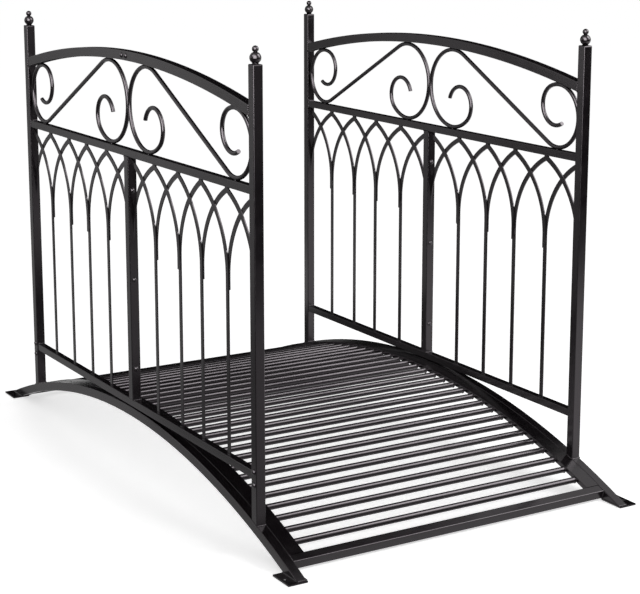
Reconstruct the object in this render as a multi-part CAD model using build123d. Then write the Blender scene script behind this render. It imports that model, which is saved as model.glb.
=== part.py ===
"""Moon bridge: an arched steel garden bridge with a rod deck and two scroll railings.

Sizes are in millimetres. X runs across the bridge, Y along it and Z up.
The underside of the foot plates is at Z = 0, and the bridge's middle is at X = Y = 0.
"""

import os
from math import acos, asin, atan2, cos, degrees, hypot, pi, radians, sin, sqrt

from build123d import *
from build123d.topology import SkipClean

os.makedirs("parts", exist_ok=True)

# Layout
rail_spacing = 943.0        # between the middle planes of the two railings
post_spacing = 1360.0       # between the end posts of one railing
tube = 25.0                 # square tube of posts, beams, handrails and end bars
tube_corner = 2.2           # outside radius of the tube's corners
seam_back = 5.0             # from a slanting end back to the seam before it

# Arch of the walkway
arch_radius = 2265.0        # walking surface
arch_rise = 178.0           # crest of the walking surface over the foot plates

# Feet
plate_thickness = 4.0
plate_length = 73.0
plate_reach = 26.0          # how far a plate stands out past its beam
anchor_hole = 11.0
anchor_edge = 11.0          # from the hole's middle to the plate's outer edge

# Deck
side_width = 40.0
side_thickness = 12.0
side_corner = 1.5
rod_diameter = 16.0
rod_drop = 3.0              # the rods lie this far under the walking surface
rod_count = 34
rod_pitch = 46.4            # along the arch
end_gap = 60.0              # from the middle of the last rod to that of the end bar

# Railings
post_top = 1150.0
post_stub = 88.0            # how far an end post stands over the handrail's end
handrail_radius = 3170.0
scroll_band = 183.5         # from the mid rail's top up to the handrail's end
cross_rail = 20.0           # square tube of the mid and bottom rails
cross_rail_corner = 1.8
bottom_rail_gap = 2.0       # between the bottom rail and the crest of the arch

# Lattice of flat strips, with the balusters at these shares of the way to the middle
strip_width = 13.0
strip_thickness = 3.0
baluster_shares = (0.2074, 0.4044, 0.5853, 0.7824)
turned_over = 2             # this baluster has its main strip in the inner leaf
spring_drop = 215.5         # from the mid rail down to where the arches leave the balusters
tail_length = 32.0          # straight end of an arch, lapped on its baluster

# Scrolls of round bar
scroll_bar = 11.0
outer_curl_share = 0.645    # radius of the small coil within the outer one
inner_curl_share = 0.48     # radius of the small coil within the inner one
outer_turn = 112.0          # where the outer coil tightens, in degrees
inner_turn = -51.7
outer_tip = -58.0
inner_tip = 162.0

# Finials
cap_height = 4.0
cap_bevel = 1.5
collar_diameter = 15.0
collar_height = 3.0
large_ball = 27.0
large_seat = 2.2            # how deep the large ball sits in its collar
neck_diameter = 7.0
small_ball = 15.5
small_seat = 1.7            # how deep the small ball sits in the large one

half_tube = tube / 2
rail_x = rail_spacing / 2
post_y = post_spacing / 2
crest = plate_thickness + arch_rise
arch_z = crest - arch_radius
bay_end = post_y - half_tube
inner_x = rail_x - half_tube
handrail_end = post_top - post_stub
handrail_z = handrail_end - sqrt(handrail_radius**2 - bay_end**2)
handrail_crest = handrail_z + handrail_radius
handrail_inside = handrail_radius - tube
mid_rail_top = handrail_end - scroll_band
mid_rail_under = mid_rail_top - cross_rail
bottom_rail_top = crest + bottom_rail_gap + cross_rail

sides = {"left": -1, "right": 1}
ends = {"front": -1, "back": 1}


def across(face, middle, width):
    """A profile drawn in the plane of a railing, extruded across the bridge."""
    return extrude(Plane.YZ.offset(middle - width / 2) * face, amount=width)


def ring(radius, thickness, z):
    return Pos(0, z) * (Circle(radius) - Circle(radius - thickness))


def window(y0, y1, z0, z1):
    return Pos((y0 + y1) / 2, (z0 + z1) / 2) * Rectangle(y1 - y0, z1 - z0)


def block(x, y, z0, z1, width=tube, depth=tube):
    return Pos(x, y, (z0 + z1) / 2) * Box(width, depth, z1 - z0)


def bent(hoop, kept, middle, width, corner):
    """A bar bent along the arch or the handrail's arc, with its long corners rounded."""
    whole = across(hoop, middle, width)
    whole = fillet(whole.edges().filter_by(GeomType.CIRCLE), corner)
    return whole & across(kept, middle, 2 * width)


def seamed(bar, centre_z, angles):
    """The bar with a seam square across it just before each end that is cut at a slant.

    The seams change no size: they let the rounded corners mesh evenly up to the cut.
    """
    pieces = [bar]
    with SkipClean():
        for angle in angles:
            square = Plane(
                origin=(0, 0, centre_z),
                x_dir=(1, 0, 0),
                z_dir=(0, cos(angle), -sin(angle)),
            )
            split = [piece.split(square, keep=Keep.ALL) for piece in pieces]
            pieces = [solid for halves in split for solid in halves.solids()]
        return pieces[0].fuse(*pieces[1:])


def straight(bar, axis, corner):
    """A straight bar with its long corners rounded."""
    return fillet(bar.edges().filter_by(axis), corner)


def turned(solid):
    """The left railing's piece turned half round, which is the right railing's."""
    return Rot(0, 0, 180) * solid


def arch_end(radius, z):
    """How far from the middle the arch of this radius comes down to the height z."""
    return sqrt(radius**2 - (z - arch_z) ** 2)


# Beams, cut level where they stand on the foot plates
above_plates = window(-arch_radius, arch_radius, plate_thickness, crest + tube)


def make_beam(side):
    hoop = ring(arch_radius, tube, arch_z)
    beam = bent(hoop, above_plates, side * rail_x, tube, tube_corner)
    top_end = asin(arch_end(arch_radius, plate_thickness) / arch_radius)
    inner = arch_radius - tube
    under_end = asin(arch_end(inner, plate_thickness) / inner)
    seams = (top_end - 2 * seam_back / arch_radius, under_end - seam_back / arch_radius)
    return seamed(beam, arch_z, [end * seam for end in (-1, 1) for seam in seams])


# Foot plates, each with one anchor hole beside the beam
plate_start = arch_end(arch_radius - tube, plate_thickness)
plate_middle = plate_start + plate_length / 2
plate_outer = rail_x + half_tube + plate_reach
anchor_x = plate_outer - anchor_edge


def make_foot(side, end):
    width = plate_outer - inner_x
    x = side * (inner_x + plate_outer) / 2
    plate = block(x, end * plate_middle, 0, plate_thickness, width, plate_length)
    hole = Pos(side * anchor_x, end * plate_middle, plate_thickness / 2) * Cylinder(
        anchor_hole / 2, 2 * plate_thickness
    )
    return plate - hole


# Deck: two flat side members, two end bars and the rods
rod_radius = arch_radius - rod_drop - rod_diameter / 2
rod_step = rod_pitch / rod_radius
last_rod = rod_step * (rod_count - 1) / 2
bar_angle = last_rod + end_gap / rod_radius


def on_arch(angle):
    """The frame of the arch at this angle from the crest."""
    return Pos(0, 0, arch_z) * Rot(-degrees(angle), 0, 0)


def make_end_bar(end):
    bar = straight(Box(2 * inner_x, tube, tube), Axis.X, tube_corner)
    return on_arch(end * bar_angle) * Pos(0, 0, arch_radius - half_tube) * bar


def make_deck_side(side):
    hoop = ring(arch_radius, side_thickness, arch_z)
    middle = side * (inner_x - side_width / 2)
    member = bent(hoop, above_plates, middle, side_width, side_corner)
    for end in ends.values():
        beyond = Pos(0, end * (arch_radius - half_tube), arch_radius) * Box(
            2 * rail_spacing, 2 * arch_radius, 3 * arch_radius
        )
        member -= on_arch(end * bar_angle) * beyond
    return member


def make_rods():
    rods = []
    length = 2 * (inner_x - side_width)
    for i in range(rod_count):
        angle = rod_step * (i - (rod_count - 1) / 2)
        rod = Rot(0, 90, 0) * Cylinder(rod_diameter / 2, length)
        rods.append(on_arch(angle) * Pos(0, 0, rod_radius) * rod)
    return Compound(children=rods)


# Posts stand on the beams, with their feet cut to the arch
def make_post(side, end):
    post = straight(block(side * rail_x, end * post_y, 0, post_top), Axis.Z, tube_corner)
    under = across(Pos(0, arch_z) * Circle(arch_radius), side * rail_x, 2 * tube)
    return post - under


def make_finial(side, end):
    cap = Pos(0, 0, cap_height / 2) * Box(tube, tube, cap_height)
    cap = straight(cap, Axis.Z, tube_corner)
    cap = chamfer(cap.edges().group_by(Axis.Z)[-1], cap_bevel)
    large_z = cap_height + collar_height + large_ball / 2 - large_seat
    small_z = large_z + large_ball / 2 + small_ball / 2 - small_seat
    collar = Pos(0, 0, cap_height + collar_height / 2) * Cylinder(
        collar_diameter / 2, collar_height
    )
    neck = Pos(0, 0, (large_z + small_z) / 2) * Cylinder(
        neck_diameter / 2, small_z - large_z
    )
    large = Pos(0, 0, large_z) * Sphere(large_ball / 2)
    small = Pos(0, 0, small_z) * Sphere(small_ball / 2)
    finial = cap + collar + large + neck + small
    return Pos(side * rail_x, end * post_y, post_top) * finial


# Rails and centre posts
def make_handrail(side, end):
    y0, y1 = sorted((0.0, end * bay_end))
    hoop = ring(handrail_radius, tube, handrail_z)
    kept = window(y0, y1, mid_rail_top, handrail_crest + tube)
    rail = bent(hoop, kept, side * rail_x, tube, tube_corner)
    seam = asin(bay_end / handrail_radius) - seam_back / handrail_radius
    return seamed(rail, handrail_z, [end * seam])


def make_rail(side, top):
    """A mid or bottom rail, between the end posts."""
    rail = block(side * rail_x, 0, top - cross_rail, top, cross_rail, 2 * bay_end)
    return straight(rail, Axis.Y, cross_rail_corner)


def make_centre_post(side):
    post = block(side * rail_x, 0, bottom_rail_top, mid_rail_under)
    return straight(post, Axis.Z, tube_corner)


# Lattice of one half of the left railing, drawn from the end post towards the middle
spring_z = mid_rail_under - spring_drop
tail_z = spring_z - tail_length


def arc_strip(foot, apex, leaf):
    """A flat strip that springs upright at foot and ends under the rail at apex."""
    run = abs(apex - foot)
    toward = 1 if apex > foot else -1
    half = strip_width / 2
    radius = (spring_drop**2 + run**2 - half**2) / (2 * (run + half))
    centre = foot + toward * radius
    band = Pos(centre, spring_z) * (Circle(radius + half) - Circle(radius - half))
    y0, y1 = sorted((foot - toward * strip_width, apex + toward * half))
    face = band & window(y0, y1, spring_z, mid_rail_under)
    return across(face, leaf * strip_thickness / 2, strip_thickness)


def make_lattice(end):
    """The balusters and arches of one half of the left railing, in its own plane.

    Strips that rise to the back are in the outer leaf and the others in the inner one.
    """
    rows = [share * post_y for share in baluster_shares]
    at_posts = half_tube - strip_width / 2
    feet = [end * (post_y - row) for row in (at_posts, *rows, post_y - at_posts)]
    outer, inner = -1, 1
    strips = []
    for place, foot in enumerate(feet[1:-1]):
        main = inner if place == turned_over else outer
        for leaf, bottom in ((main, bottom_rail_top), (-main, tail_z)):
            x = leaf * strip_thickness / 2
            strips.append(
                block(x, foot, bottom, spring_z, strip_thickness, strip_width)
            )
    for one, other in zip(feet[:-1], feet[1:]):
        for foot, apex in ((one, other), (other, one)):
            strips.append(arc_strip(foot, apex, outer if apex > foot else inner))
    bay = Pos(0, end * post_y / 2, mid_rail_under / 2) * Box(
        tube, bay_end - half_tube, mid_rail_under
    )
    return (strips[0] + strips[1:]) & bay


# Scrolls between the mid rail and the handrail
def make_scroll():
    """One scroll of round bar, drawn with Y as u and Z as v and swept in one piece."""
    half = scroll_bar / 2
    c = mid_rail_top + half - handrail_z
    d = handrail_inside - half
    # The inner coil touches its twin, the mid rail and the handrail
    b = half + c + d
    inner_r = -b + sqrt(b**2 - (half**2 + c**2 - d**2))
    inner_c = (half + inner_r, mid_rail_top + half + inner_r)
    # The outer coil touches both rails and the end post
    reach = bay_end - half
    place = (c + d) - sqrt((c + d) ** 2 - 2 * (c + d) * reach + d**2 - c**2)
    outer_r = (d**2 - c**2 - place**2) / (2 * (c + d))
    outer_c = (place, mid_rail_top + half + outer_r)
    outer_curl = outer_curl_share * outer_r
    inner_curl = inner_curl_share * inner_r
    du, dv = inner_c[0] - outer_c[0], inner_c[1] - outer_c[1]
    gap = hypot(du, dv)
    lean = degrees(atan2(dv, du) + acos((outer_r + inner_r) / gap))

    def point(centre, radius, angle):
        return (
            centre[0] + radius * cos(radians(angle)),
            centre[1] + radius * sin(radians(angle)),
        )

    def within(centre, radius, small, angle):
        return point(centre, radius - small, angle)

    curl_c = within(outer_c, outer_r, outer_curl, outer_turn)
    coil_c = within(inner_c, inner_r, inner_curl, inner_turn)

    def arc(centre, radius, start, end):
        spots = [point(centre, radius, a) for a in (start, (start + end) / 2, end)]
        return ThreePointArc(*spots)

    runs = [
        arc(curl_c, outer_curl, outer_tip, outer_turn - 360),
        arc(outer_c, outer_r, outer_turn, lean - 360),
        Line(point(outer_c, outer_r, lean), point(inner_c, inner_r, lean - 180)),
        arc(inner_c, inner_r, lean - 180, inner_turn + 360),
        arc(coil_c, inner_curl, inner_turn, inner_tip),
    ]
    path = Plane.YZ * Wire(runs)
    section = Plane(origin=path @ 0, z_dir=path % 0) * Circle(half)
    bar = sweep(section, path=path)
    length = sum(run.length for run in runs)
    print("scroll", round(bar.volume / (pi * half**2 * length), 4), "of its bar")
    return bar


scroll_back = make_scroll()
made = {}
for side_name, side in sides.items():
    made[f"beam_{side_name}"] = make_beam(side)
    made[f"deck_side_{side_name}"] = make_deck_side(side)
    made[f"centre_post_{side_name}"] = make_centre_post(side)
    made[f"mid_rail_{side_name}"] = make_rail(side, mid_rail_top)
    made[f"bottom_rail_{side_name}"] = make_rail(side, bottom_rail_top)
    for end_name, end in ends.items():
        name = f"{end_name}_{side_name}"
        made[f"foot_plate_{name}"] = make_foot(side, end)
        made[f"post_{name}"] = make_post(side, end)
        made[f"finial_{name}"] = make_finial(side, end)
        made[f"handrail_{name}"] = make_handrail(side, end)
        # The right railing is the left one turned half round
        lattice = make_lattice(end) if side < 0 else turned(make_lattice(-end))
        made[f"lattice_{name}"] = Pos(side * rail_x, 0, 0) * lattice
        scroll = scroll_back if end > 0 else turned(scroll_back)
        made[f"scroll_{name}"] = Pos(side * rail_x, 0, 0) * scroll
for end_name, end in ends.items():
    made[f"deck_bar_{end_name}"] = make_end_bar(end)
made["deck_rods"] = make_rods()

for name, shape in made.items():
    export_step(shape, f"parts/{name}.step")
print(len(made), "pieces")
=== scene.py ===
from math import asin, cos, pi, radians, sin, sqrt

import bmesh
import bpy
from mathutils import Matrix, Vector


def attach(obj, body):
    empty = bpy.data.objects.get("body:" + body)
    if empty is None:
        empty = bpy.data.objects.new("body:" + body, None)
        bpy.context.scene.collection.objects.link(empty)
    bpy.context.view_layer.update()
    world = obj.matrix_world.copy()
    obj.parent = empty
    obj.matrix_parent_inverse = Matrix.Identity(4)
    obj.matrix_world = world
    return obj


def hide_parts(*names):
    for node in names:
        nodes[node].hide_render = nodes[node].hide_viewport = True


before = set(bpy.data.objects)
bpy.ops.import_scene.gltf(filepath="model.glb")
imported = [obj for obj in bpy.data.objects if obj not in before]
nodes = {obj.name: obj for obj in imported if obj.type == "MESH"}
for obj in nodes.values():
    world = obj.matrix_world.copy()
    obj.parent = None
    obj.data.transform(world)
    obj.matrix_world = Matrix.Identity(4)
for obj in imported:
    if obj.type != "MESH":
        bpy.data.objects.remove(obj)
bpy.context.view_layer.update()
MM = 0.001

# Sizes of the bridge that the bolts and welds sit on
RAIL_X = 471.5 * MM          # middle plane of a railing
POST_Y = 680.0 * MM          # middle of an end post
POST_TOP = 1150.0 * MM
TUBE = 25.0 * MM
BAY_END = POST_Y - TUBE / 2
INNER_X = RAIL_X - TUBE / 2
PLATE = 4.0 * MM
ARCH_R = 2265.0 * MM
CREST = 182.0 * MM
ARCH_Z = CREST - ARCH_R
SIDE_WIDTH = 40.0 * MM
SIDE_THICKNESS = 12.0 * MM
ROD_R = 8.0 * MM
ROD_COUNT = 34
ROD_MIDDLE = ARCH_R - 3.0 * MM - ROD_R
ROD_STEP = 46.4 * MM / ROD_MIDDLE
BAR_ANGLE = ROD_STEP * (ROD_COUNT - 1) / 2 + 60.0 * MM / ROD_MIDDLE
HAND_R = 3170.0 * MM
HAND_END = POST_TOP - 88.0 * MM
HAND_Z = HAND_END - sqrt(HAND_R**2 - BAY_END**2)
CROSS = 20.0 * MM            # square tube of the mid and bottom rails
MID_TOP = HAND_END - 183.5 * MM
MID_UNDER = MID_TOP - CROSS
LOW_TOP = CREST + 2.0 * MM + CROSS
BALUSTERS = [POST_Y * (1 - share) for share in (0.2074, 0.4044, 0.5853, 0.7824)]
STRIP_WIDTH = 13.0 * MM
STRIP_THICKNESS = 3.0 * MM
SCROLL_BAR = 11.0 * MM

# Materials


def linear(hex_colour):
    """A colour written as sRGB hex, as linear RGBA."""
    out = []
    for i in (0, 2, 4):
        c = int(hex_colour[i:i + 2], 16) / 255
        out.append(c / 12.92 if c <= 0.04045 else ((c + 0.055) / 1.055) ** 2.4)
    return (*out, 1.0)


def node(tree, kind, inputs=None, **settings):
    """Adds a node, sets its properties, and sets or links its inputs."""
    made = tree.nodes.new(kind)
    for key, value in settings.items():
        setattr(made, key, value)
    for key, value in (inputs or {}).items():
        if isinstance(value, bpy.types.NodeSocket):
            tree.links.new(value, made.inputs[key])
        else:
            made.inputs[key].default_value = value
    return made


def new_material(name):
    material = bpy.data.materials.new(name)
    material.use_nodes = True
    tree = material.node_tree
    tree.nodes.clear()
    return material, tree


def powder_coated_steel():
    # Polyester powder coat baked on mild steel: semi-gloss black with a faint orange peel
    material, tree = new_material("powder_coated_steel")
    place = node(tree, "ShaderNodeTexCoord").outputs["Object"]
    # Orange peel is about 1.5 mm across in the real film, which is finer than a pixel here
    peel = node(tree, "ShaderNodeTexNoise",
                {"Vector": place, "Scale": 420.0, "Detail": 2.0, "Roughness": 0.5})
    # Thicker and thinner film, a few centimetres across, changes the gloss a little
    film = node(tree, "ShaderNodeTexNoise",
                {"Vector": place, "Scale": 24.0, "Detail": 3.0, "Roughness": 0.55})
    gloss = node(tree, "ShaderNodeMapRange",
                 {"Value": film.outputs["Fac"], "From Min": 0.3, "From Max": 0.7,
                  "To Min": 0.16, "To Max": 0.22})
    tint = node(tree, "ShaderNodeMix",
                {"Factor": film.outputs["Fac"], "A": linear("080507"), "B": linear("0f0b0e")},
                data_type="RGBA")
    bump = node(tree, "ShaderNodeBump",
                {"Height": peel.outputs["Fac"], "Strength": 0.02, "Distance": 0.0003})
    coat = node(tree, "ShaderNodeBsdfPrincipled",
                {"Base Color": tint.outputs[2], "Roughness": gloss.outputs["Result"],
                 "Normal": bump.outputs["Normal"], "IOR": 1.5,
                 "Specular IOR Level": 0.42, "Specular Tint": linear("fff5fc")})
    node(tree, "ShaderNodeOutputMaterial", {"Surface": coat.outputs["BSDF"]})
    return material


COAT = powder_coated_steel()


# Making pieces

SMOOTH_UNDER = radians(50.0)    # faces that meet at less than this look like one


def finished(bm, name, replaced=()):
    """Turns a bmesh into a coated piece that rides on the bridge."""
    mesh = bpy.data.meshes.new(name)
    bm.normal_update()
    bm.to_mesh(mesh)
    bm.free()
    for face in mesh.polygons:
        face.use_smooth = True
    mesh.set_sharp_from_angle(angle=SMOOTH_UNDER)
    piece = bpy.data.objects.new(name, mesh)
    bpy.context.scene.collection.objects.link(piece)
    even = piece.modifiers.new("even_faces", "WEIGHTED_NORMAL")
    even.keep_sharp = True
    mesh.materials.append(COAT)
    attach(piece, "root")
    if replaced:
        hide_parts(*replaced)
    return piece


def dress_steelwork():
    """Every node keeps its CAD shape, with its points merged and its flat faces whole."""
    for name in nodes:
        bm = bmesh.new()
        bm.from_mesh(nodes[name].data)
        bmesh.ops.remove_doubles(bm, verts=bm.verts, dist=0.002 * MM)
        bmesh.ops.dissolve_limit(bm, angle_limit=radians(0.3), verts=bm.verts, edges=bm.edges)
        finished(bm, name + "_coated", [name])


def on_arch(angle, radius):
    """A place on the arch, this far round from the crest, with Z out of the arch."""
    turn = Matrix.Rotation(-angle, 4, "X")
    return Matrix.Translation((0, 0, ARCH_Z)) @ turn @ Matrix.Translation((0, 0, radius))


def arch_height(y, radius):
    """How high the arch of this radius is at Y."""
    return ARCH_Z + sqrt(radius**2 - y**2)


def rail_height(y, radius):
    """How high the handrail's arc of this radius is at Y."""
    return HAND_Z + sqrt(radius**2 - y**2)


def join(bm, small):
    """Adds one small bmesh to the piece it belongs to."""
    bmesh.ops.recalc_face_normals(small, faces=small.faces)
    mesh = bpy.data.meshes.new("part")
    small.to_mesh(mesh)
    small.free()
    bm.from_mesh(mesh)
    bpy.data.meshes.remove(mesh)


def turned(bm, profile, place, segments):
    """Turns a profile of (radius, height) points about Z and puts it in place."""
    small = bmesh.new()
    verts = [small.verts.new((r, 0, z)) for r, z in profile]
    edges = [small.edges.new(pair) for pair in zip(verts, verts[1:])]
    bmesh.ops.spin(small, geom=verts + edges, angle=2 * pi, steps=segments, axis=(0, 0, 1),
                   cent=(0, 0, 0), use_merge=True)
    bmesh.ops.remove_doubles(small, verts=small.verts, dist=0.01 * MM)
    bmesh.ops.transform(small, matrix=place, verts=small.verts)
    join(bm, small)


# Carriage bolts

# The low dome of an M6 bolt on its washer, as (radius, height) in millimetres
DOME = [(0.0, 4.6), (2.0, 4.4), (3.9, 3.7), (5.3, 2.6), (6.0, 1.2), (6.1, 1.0),
        (7.6, 1.0), (7.8, 0.8), (7.8, 0.0)]


def bolt(bm, spot, facing):
    aim = Vector(facing).to_track_quat("Z", "Y").to_matrix().to_4x4()
    profile = [(r * MM, z * MM) for r, z in DOME]
    turned(bm, profile, Matrix.Translation(spot) @ aim, 20)


def add_bolts():
    for side_name, side in (("left", -1), ("right", 1)):
        outer = side * (RAIL_X + TUBE / 2)
        bm = bmesh.new()
        # Through the centre post, where the lattice panels meet it
        for z in (770, 532, 290):
            for face in (-1, 1):
                bolt(bm, (side * RAIL_X, face * TUBE / 2, z * MM), (0, face, 0))
        for end in (-1, 1):
            # Through the end post's foot
            for z in (204, 172):
                bolt(bm, (outer, end * POST_Y, z * MM), (side, 0, 0))
            # Through the sleeve that joins the handrail's halves
            y = end * 12.6 * MM
            bolt(bm, (outer, y, rail_height(y, HAND_R - TUBE / 2)), (side, 0, 0))
        finished(bm, "bolts_" + side_name)


# Welds, under the same coat

RIPPLE = 2.4 * MM            # from one ripple of a bead to the next


def bead(bm, start, end, size):
    """A rippled weld bead along the corner between two faces, half sunk in both."""
    start, end = Vector(start), Vector(end)
    run = end - start
    steps = max(3, round(run.length / RIPPLE))
    aim = run.to_track_quat("Z", "Y").to_matrix().to_4x4()
    small = bmesh.new()
    bmesh.ops.create_circle(small, cap_ends=True, segments=8, radius=size * 0.55,
                            matrix=Matrix.Translation(start) @ aim)
    last = small.faces[:]
    for step in range(1, steps + 1):
        grown = bmesh.ops.extrude_face_region(small, geom=last)
        last = [item for item in grown["geom"] if isinstance(item, bmesh.types.BMFace)]
        verts = last[0].verts[:]
        bmesh.ops.translate(small, vec=run / steps, verts=verts)
        swell = 0.8 if step == steps else (1.16 if step % 2 else 1 / 1.16)
        middle = start + run * step / steps
        bmesh.ops.scale(small, vec=(swell, swell, swell), verts=verts,
                        space=Matrix.Translation(-middle))
    join(bm, small)


def ring_bead(bm, place, radius, size):
    """The bead round the end of a round bar."""
    small = bmesh.new()
    bmesh.ops.create_circle(small, segments=6, radius=size * 0.6,
                            matrix=Matrix.Translation((radius + size * 0.2, 0, size * 0.2))
                            @ Matrix.Rotation(pi / 2, 4, "X"))
    bmesh.ops.spin(small, geom=small.verts[:] + small.edges[:], angle=2 * pi, steps=18,
                   axis=(0, 0, 1), cent=(0, 0, 0), use_merge=True)
    bmesh.ops.remove_doubles(small, verts=small.verts, dist=0.01 * MM)
    bmesh.ops.transform(small, matrix=place, verts=small.verts)
    join(bm, small)


def tack(bm, spot, facing):
    """A short tack weld where a scroll touches a rail, a post or its twin."""
    aim = Vector(facing).to_track_quat("Z", "X").to_matrix().to_4x4()
    small = bmesh.new()
    bmesh.ops.create_icosphere(small, subdivisions=2, radius=1.0,
                               matrix=Matrix.Translation(spot) @ aim
                               @ Matrix.Diagonal((0.36 * SCROLL_BAR, 0.42 * SCROLL_BAR,
                                                  0.16 * SCROLL_BAR, 1)))
    join(bm, small)


def square_beads(bm, place, across, along, size):
    """Four beads round the foot of a square tube that stands on a face."""
    x, y = across / 2, along / 2
    corners = [(-x, -y), (x, -y), (x, y), (-x, y)]
    for one, other in zip(corners, corners[1:] + corners[:1]):
        bead(bm, place @ Vector((*one, 0)), place @ Vector((*other, 0)), size)


def scroll_contacts():
    """Where a scroll of the back half touches its neighbours, as (Y, Z) and a direction."""
    half = SCROLL_BAR / 2
    low = MID_TOP + half - HAND_Z
    high = HAND_R - TUBE - half
    wide = half + low + high
    inner = -wide + sqrt(wide**2 - (half**2 + low**2 - high**2))
    both = low + high
    reach = BAY_END - half
    place = both - sqrt(both**2 - 2 * both * reach + high**2 - low**2)
    outer = (high**2 - low**2 - place**2) / (2 * both)
    found = [((BAY_END, MID_TOP + half + outer), (1, 0)), ((0, MID_TOP + half + inner), (1, 0))]
    for y, radius in ((half + inner, inner), (place, outer)):
        rise = MID_TOP + half + radius - HAND_Z
        away = Vector((y, rise)).normalized()
        touch = away * (HAND_R - TUBE) + Vector((0, HAND_Z))
        found += [((y, MID_TOP), (0, 1)), (tuple(touch), tuple(away))]
    return found


def add_railing_welds():
    contacts = scroll_contacts()
    slope = asin(POST_Y / ARCH_R)
    for side_name, side in (("left", -1), ("right", 1)):
        x = side * RAIL_X
        bm = bmesh.new()
        for end in (-1, 1):
            # End post on the beam
            foot = Matrix.Translation((x, end * POST_Y, arch_height(POST_Y, ARCH_R)))
            foot = foot @ Matrix.Rotation(-end * slope, 4, "X")
            square_beads(bm, foot, TUBE, TUBE / cos(slope), 3.0 * MM)
            # Rails between the posts
            square_end = Matrix.Rotation(pi / 2, 4, "X")
            for top in (MID_TOP, LOW_TOP):
                spot = Matrix.Translation((x, end * BAY_END, top - CROSS / 2))
                square_beads(bm, spot @ square_end, CROSS, CROSS, 2.2 * MM)
            over, under = HAND_END, rail_height(BAY_END, HAND_R - TUBE)
            spot = Matrix.Translation((x, end * BAY_END, (over + under) / 2))
            square_beads(bm, spot @ square_end, TUBE, over - under, 2.6 * MM)
            for (y, z), (facing_y, facing_z) in contacts:
                tack(bm, (x, end * y, z), (0, end * facing_y, facing_z))
            # Lattice strips, to the bottom rail and under the mid rail
            for face in (-1, 1):
                edge = x + face * STRIP_THICKNESS
                for y in BALUSTERS:
                    spots = [(edge, end * (y + half), LOW_TOP)
                             for half in (-STRIP_WIDTH / 2, STRIP_WIDTH / 2)]
                    bead(bm, *spots, 1.8 * MM)
                    spots = [(edge, end * (y + half), MID_UNDER)
                             for half in (-STRIP_WIDTH / 2, STRIP_WIDTH / 2)]
                    bead(bm, *spots, 1.8 * MM)
        # Centre post, between the bottom rail and the mid rail
        for z in (LOW_TOP, MID_UNDER):
            square_beads(bm, Matrix.Translation((x, 0, z)), TUBE, TUBE, 2.2 * MM)
        finished(bm, "railing_welds_" + side_name)


def add_deck_welds():
    bm = bmesh.new()
    for side in (-1, 1):
        inner = side * INNER_X
        rod_end = inner - side * SIDE_WIDTH
        for i in range(ROD_COUNT):
            place = on_arch(ROD_STEP * (i - (ROD_COUNT - 1) / 2), ROD_MIDDLE)
            place = place @ Matrix.Translation((rod_end, 0, 0))
            place = place @ Matrix.Rotation(-side * pi / 2, 4, "Y")
            ring_bead(bm, place, ROD_R, 1.8 * MM)
        # Stitches under the side members, against the beams
        for i in range(-3, 4):
            spots = [on_arch(radians(5.4 * i) + turn, ARCH_R - SIDE_THICKNESS)
                     @ Vector((inner, 0, 0)) for turn in (-0.007, 0.007)]
            bead(bm, *spots, 3.0 * MM)
        for end in (-1, 1):
            # End bars against the beams
            place = on_arch(end * BAR_ANGLE, ARCH_R - TUBE / 2)
            place = place @ Matrix.Translation((inner, 0, 0)) @ Matrix.Rotation(pi / 2, 4, "Y")
            square_beads(bm, place, TUBE, TUBE, 2.6 * MM)
            # Beams on their foot plates
            near = sqrt((ARCH_R - TUBE) ** 2 - (PLATE - ARCH_Z) ** 2)
            far = sqrt(ARCH_R**2 - (PLATE - ARCH_Z) ** 2)
            place = Matrix.Translation((side * RAIL_X, end * (near + far) / 2, PLATE))
            square_beads(bm, place, TUBE, far - near, 3.0 * MM)
    finished(bm, "deck_welds")


dress_steelwork()
add_bolts()
add_railing_welds()
add_deck_welds()


# Camera

PICTURE_WIDTH = 640             # in pixels
FOCAL_LENGTH = 1694.0           # in pixels
SENSOR = 36.0                   # in millimetres
LOOKS_DOWN = radians(11.22)
LOOKS_RIGHT = radians(30.97)    # from straight along the bridge


def add_camera():
    """The photograph's view: from the front left corner, a little above the handrails."""
    data = bpy.data.cameras.new("camera")
    data.sensor_width = SENSOR
    data.lens = FOCAL_LENGTH / PICTURE_WIDTH * SENSOR
    data.shift_y = -0.1
    data.clip_start = 0.1
    data.clip_end = 60.0
    camera = bpy.data.objects.new("camera", data)
    camera.location = (-2.2882, -3.9865, 1.5188)
    camera.rotation_euler = (pi / 2 - LOOKS_DOWN, 0, -LOOKS_RIGHT)
    bpy.context.scene.collection.objects.link(camera)
    bpy.context.scene.camera = camera


# Studio

WHITE = (1, 1, 1, 1)


def add_studio():
    """A white room, which is dimmer as a light than it looks."""
    scene = bpy.context.scene
    scene.view_settings.view_transform = "Standard"
    world = bpy.data.worlds.new("studio")
    scene.world = world
    world.use_nodes = True
    tree = world.node_tree
    tree.nodes.clear()
    path = node(tree, "ShaderNodeLightPath").outputs
    seen = node(tree, "ShaderNodeMath",
                {0: path["Is Camera Ray"], 1: path["Is Glossy Ray"]}, operation="MAXIMUM")
    seen = node(tree, "ShaderNodeMath",
                {0: seen.outputs[0], 1: path["Is Transmission Ray"]}, operation="MAXIMUM")
    soft = node(tree, "ShaderNodeBackground", {"Color": WHITE, "Strength": 0.45})
    white = node(tree, "ShaderNodeBackground", {"Color": WHITE, "Strength": 1.0})
    mixed = node(tree, "ShaderNodeMixShader",
                 {0: seen.outputs[0], 1: soft.outputs[0], 2: white.outputs[0]})
    node(tree, "ShaderNodeOutputWorld", {"Surface": mixed.outputs[0]})


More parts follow.
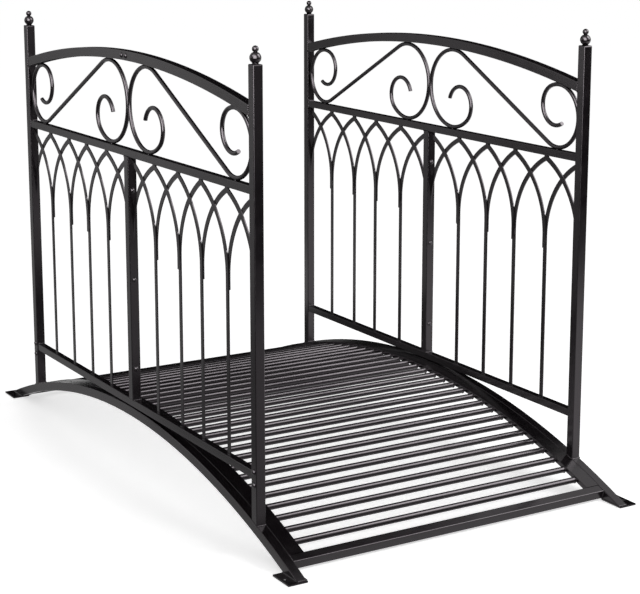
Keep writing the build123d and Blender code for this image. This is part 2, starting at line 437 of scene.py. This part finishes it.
def softbox(name, spot, target, size, power, mirrored=False):
    """A rectangular lamp. A mirrored one shows in the coat's gloss and lights nothing else."""
    data = bpy.data.lights.new(name, "AREA")
    data.shape = "RECTANGLE"
    data.size, data.size_y = size
    data.energy = power
    lamp = bpy.data.objects.new(name, data)
    lamp.location = spot
    aim = Vector(target) - Vector(spot)
    lamp.rotation_euler = aim.to_track_quat("-Z", "Y").to_euler()
    lamp.visible_camera = False
    lamp.visible_diffuse = not mirrored
    bpy.context.scene.collection.objects.link(lamp)


def staged(bm, name, material, spot):
    """A piece of the studio, which isn't part of the bridge."""
    mesh = bpy.data.meshes.new(name)
    bm.to_mesh(mesh)
    bm.free()
    mesh.materials.append(material)
    piece = bpy.data.objects.new(name, mesh)
    piece.location = spot
    bpy.context.scene.collection.objects.link(piece)
    return piece


def ramp(tree, value, start, end):
    """0 before start and 1 past end, smooth between them."""
    return node(tree, "ShaderNodeMapRange", {"Value": value, "From Min": start, "From Max": end},
                interpolation_type="SMOOTHSTEP").outputs["Result"]


def add_floor():
    # White studio floor, which keeps a soft shadow of the bridge. Reflections see painted shade
    # and painted light on it: grey to the left, white to the near right, black far in front and
    # behind. Each painted patch changes the tone of the bare floor, and its ramps are its edges.
    material, tree = new_material("white_floor")
    path = node(tree, "ShaderNodeLightPath").outputs
    place = node(tree, "ShaderNodeTexCoord").outputs["Object"]
    across_corner = (1.16, 1.0, 0.0)
    slant = node(tree, "ShaderNodeVectorMath", {0: place, 1: across_corner},
                 operation="DOT_PRODUCT").outputs["Value"]
    place = node(tree, "ShaderNodeSeparateXYZ", {"Vector": place}).outputs
    x, y = place["X"], place["Y"]
    bare_floor, darkest = 0.82, 0.03
    # Painted shade and painted light that only reflections see, each a tone and its ramps
    painted_reflection_patches = [(-0.34, [ramp(tree, x, -0.35, -0.6)]),
             (0.8, [ramp(tree, x, 0.45, 0.75), ramp(tree, y, 0.6, 0.3)]),
             (-0.27, [ramp(tree, x, -0.7, -0.8), ramp(tree, slant, -0.35, -0.55)]),
             (-1.5, [ramp(tree, x, 0.45, 0.75), ramp(tree, y, -2.2, -3.2)]),
             (-0.6, [ramp(tree, x, -0.5, 0.2), ramp(tree, y, -2.8, -3.8)]),
             (-0.7, [ramp(tree, x, 0.1, 0.4), ramp(tree, y, 1.3, 1.42)]),
             (-0.7, [ramp(tree, x, -0.6, -0.4), ramp(tree, y, 0.75, 0.95),
                     ramp(tree, y, 1.42, 1.3)])]
    seen = bare_floor
    for tone, (first, *rest) in painted_reflection_patches:
        for other in rest:
            first = node(tree, "ShaderNodeMath", {0: first, 1: other},
                         operation="MULTIPLY").outputs[0]
        seen = node(tree, "ShaderNodeMath", {0: first, 1: tone, 2: seen},
                    operation="MULTIPLY_ADD").outputs[0]
    seen = node(tree, "ShaderNodeMath", {0: seen, 1: darkest}, operation="MAXIMUM")
    # What reflections see of the floor: the painted tones, which the lamps don't light
    mirrored = node(tree, "ShaderNodeEmission",
                    {"Color": WHITE, "Strength": seen.outputs[0]})
    paper = node(tree, "ShaderNodeBsdfDiffuse", {"Color": linear("f2f2f2")})
    level = node(tree, "ShaderNodeMath",
                 {0: path["Is Camera Ray"], 1: 0.25, 2: 0.35}, operation="MULTIPLY_ADD")
    glow = node(tree, "ShaderNodeEmission",
                {"Color": WHITE, "Strength": level.outputs[0]})
    lit = node(tree, "ShaderNodeAddShader", {0: paper.outputs[0], 1: glow.outputs[0]})
    both = node(tree, "ShaderNodeMixShader",
                {0: path["Is Glossy Ray"], 1: lit.outputs[0], 2: mirrored.outputs[0]})
    node(tree, "ShaderNodeOutputMaterial", {"Surface": both.outputs[0]})
    bm = bmesh.new()
    bmesh.ops.create_grid(bm, x_segments=1, y_segments=1, size=80.0)
    staged(bm, "floor", material, (0, 0, -0.0005))


def add_board(name, strength, low, high, y):
    """An upright glowing board that only reflections see, from one X and Z to another at Y. Its
    glow is a painted reflection, as dark or bright as its strength.
    """
    material, tree = new_material(name)
    tone = node(tree, "ShaderNodeEmission", {"Color": WHITE, "Strength": strength})
    node(tree, "ShaderNodeOutputMaterial", {"Surface": tone.outputs[0]})
    wide, tall = (high[0] - low[0]) / 2, (high[1] - low[1]) / 2
    bm = bmesh.new()
    bmesh.ops.create_grid(bm, x_segments=1, y_segments=1, size=1.0,
                          matrix=Matrix.Rotation(pi / 2, 4, "X")
                          @ Matrix.Diagonal((wide, tall, 1, 1)))
    board = staged(bm, name, material, (low[0] + wide, y, low[1] + tall))
    board.visible_camera = False
    board.visible_diffuse = False
    board.visible_shadow = False


add_camera()
add_studio()
add_floor()
# Glowing boards paint the coat's reflections: those behind keep level faces black and side faces
# grey, and two in front paint shade on the posts
add_board("black_board_behind", 0.01, (-0.3, 0.0), (5.2, 14.0), 2.6)
add_board("white_board_left", 1.7, (-8.0, 0.0), (-3.75, 3.0), 4.5)
add_board("grey_board_left", 0.3, (-3.75, 0.0), (-3.2, 3.0), 4.5)
add_board("pale_board_behind", 0.7, (-3.2, 0.0), (-2.25, 3.0), 4.5)
add_board("grey_board_behind", 0.36, (-2.25, 0.0), (-1.0, 3.0), 4.5)
add_board("grey_board_in_front", 0.4, (-0.5, 0.0), (3.5, 0.9), -6.5)
add_board("black_board_in_front", 0.05, (3.5, 0.0), (10.0, 0.9), -6.5)
softbox("key", (2.4, -3.0, 4.0), (0, 0, 0.4), (2.4, 2.4), 80)
# One box for the rods' bright band, and two for the corners and scrolls that face the camera
softbox("band", (2.7, -2.2, 2.9), (0.4, -0.2, 0.1), (2.6, 3.6), 190, mirrored=True)
softbox("edge", (-3.3, -4.3, 2.1), (0, 0, 0.7), (5.5, 3.8), 800, mirrored=True)
softbox("upper_edge", (-2.6, -1.9, 3.6), (0, 0, 0.7), (4.5, 2.0), 240, mirrored=True)
